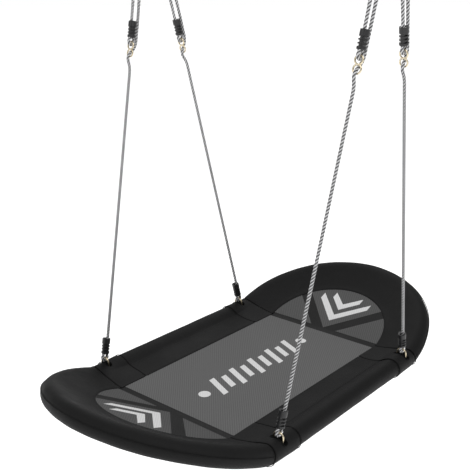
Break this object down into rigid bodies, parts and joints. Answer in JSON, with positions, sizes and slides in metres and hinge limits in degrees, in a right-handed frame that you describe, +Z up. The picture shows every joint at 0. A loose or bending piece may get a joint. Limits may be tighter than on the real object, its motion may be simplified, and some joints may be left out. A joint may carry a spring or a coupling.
{
  "type": "platform swing",
  "caption": "Platform swing with a padded rim, a woven mat and turned-up round ends, hung by adjustable ropes from rings and snap hooks.",
  "frame": {"origin": "midway between the bores of the two snap hooks, which hang in line across the seat", "axes": "+Z up, +X along the seat's length, +Y across it from the front hook to the back hook"},
  "size_m": [1.4816, 0.918, 1.6592],
  "materials": {
    "frame_steel": "powder coat",
    "fasteners": "zinc plated",
    "foam": "closed-cell foam",
    "corner_cloth": "coated woven cloth, quilted",
    "cover_cloth": "coated woven cloth",
    "border_cloth": "coated woven cloth",
    "mat_weave": "plastic-coated mesh weave",
    "yellow_zinc": "yellow zinc plated",
    "bright_zinc": "bright zinc plated",
    "black_plastic": "moulded, slightly glossy",
    "rope_fibre": "twisted synthetic fibre"
  },
  "bodies": {
    "hooks": {"snap_hook_front": "bright_zinc", "snap_hook_back": "bright_zinc", "gate_rivets": "bright_zinc"},
    "gate_front_body": {"gate_front": "bright_zinc", "gate_spring_front": "bright_zinc"},
    "gate_back_body": {"gate_back": "bright_zinc", "gate_spring_back": "bright_zinc"},
    "ring_front": {"hanging_ring_front": "yellow_zinc"},
    "ring_back": {"hanging_ring_back": "yellow_zinc"},
    "legs_front": {"link_front_left": "yellow_zinc", "lower_thimble_front_left": "bright_zinc", "lower_sleeve_front_left": "black_plastic", "rope_front_left": "rope_fibre", "adjuster_front_left": "yellow_zinc", "upper_thimble_front_left": "bright_zinc", "upper_sleeve_front_left": "black_plastic", "link_front_right": "yellow_zinc", "lower_thimble_front_right": "bright_zinc", "lower_sleeve_front_right": "black_plastic", "rope_front_right": "rope_fibre", "adjuster_front_right": "yellow_zinc", "upper_thimble_front_right": "bright_zinc", "upper_sleeve_front_right": "black_plastic"},
    "legs_back": {"link_back_left": "yellow_zinc", "lower_thimble_back_left": "bright_zinc", "lower_sleeve_back_left": "black_plastic", "rope_back_left": "rope_fibre", "adjuster_back_left": "yellow_zinc", "upper_thimble_back_left": "bright_zinc", "upper_sleeve_back_left": "black_plastic", "link_back_right": "yellow_zinc", "lower_thimble_back_right": "bright_zinc", "lower_sleeve_back_right": "black_plastic", "rope_back_right": "rope_fibre", "adjuster_back_right": "yellow_zinc", "upper_thimble_back_right": "bright_zinc", "upper_sleeve_back_right": "black_plastic"},
    "seat": {"side_tube_front": "frame_steel", "side_tube_back": "frame_steel", "end_tube_left": "frame_steel", "end_tube_right": "frame_steel", "tube_joiners": "frame_steel", "joint_screws": "fasteners", "joint_nuts": "fasteners", "foam_side_front": "foam", "foam_side_back": "foam", "foam_end_left": "foam", "foam_end_right": "foam", "cover_side_front": "cover_cloth", "cover_side_back": "cover_cloth", "cover_end_left": "cover_cloth", "cover_end_right": "cover_cloth", "cover_corner_front_left": "corner_cloth", "cover_corner_front_right": "corner_cloth", "cover_corner_back_left": "corner_cloth", "cover_corner_back_right": "corner_cloth", "border_panel": "border_cloth", "woven_mat": "mat_weave"}
  },
  "joints": [
    {"name": "gate_front_hinge", "type": "hinge", "parent": "hooks", "child": "gate_front_body", "pos_m": [0, -0.422, -0.042], "axis": [1, 0, 0], "range_deg": [-25, 0], "stiffness_Nm_per_rad": 0.15, "springref_deg": 11.46},
    {"name": "gate_back_hinge", "type": "hinge", "parent": "hooks", "child": "gate_back_body", "pos_m": [0, 0.422, -0.042], "axis": [1, 0, 0], "range_deg": [0, 25], "stiffness_Nm_per_rad": 0.15, "springref_deg": -11.46},
    {"name": "swing_front", "type": "hinge", "parent": "hooks", "child": "ring_front", "pos_m": [0, -0.438, -0.096], "axis": [0, 1, 0], "range_deg": [-40, 40]},
    {"name": "swing_back", "type": "hinge", "parent": "hooks", "child": "ring_back", "pos_m": [0, 0.438, -0.096], "axis": [0, 1, 0], "range_deg": [-40, 40]},
    {"name": "sway_front", "type": "hinge", "parent": "ring_front", "child": "legs_front", "pos_m": [0, -0.438, -0.1538], "axis": [1, 0, 0], "range_deg": [-4, 4]},
    {"name": "sway_back", "type": "hinge", "parent": "ring_back", "child": "legs_back", "pos_m": [0, 0.438, -0.1538], "axis": [1, 0, 0], "range_deg": [-4, 4]},
    {"name": "seat_pivot", "type": "hinge", "parent": "legs_front", "child": "seat", "pos_m": [0, -0.345, -1.6097], "axis": [1, 0, 0], "range_deg": [-5.2, 5.2]}
  ],
  "couplings": [
    {"joint": "swing_back", "follows": "swing_front", "ratio": 1},
    {"joint": "sway_back", "follows": "sway_front", "ratio": 1},
    {"joint": "seat_pivot", "follows": "sway_front", "ratio": -1.2696}
  ]
}
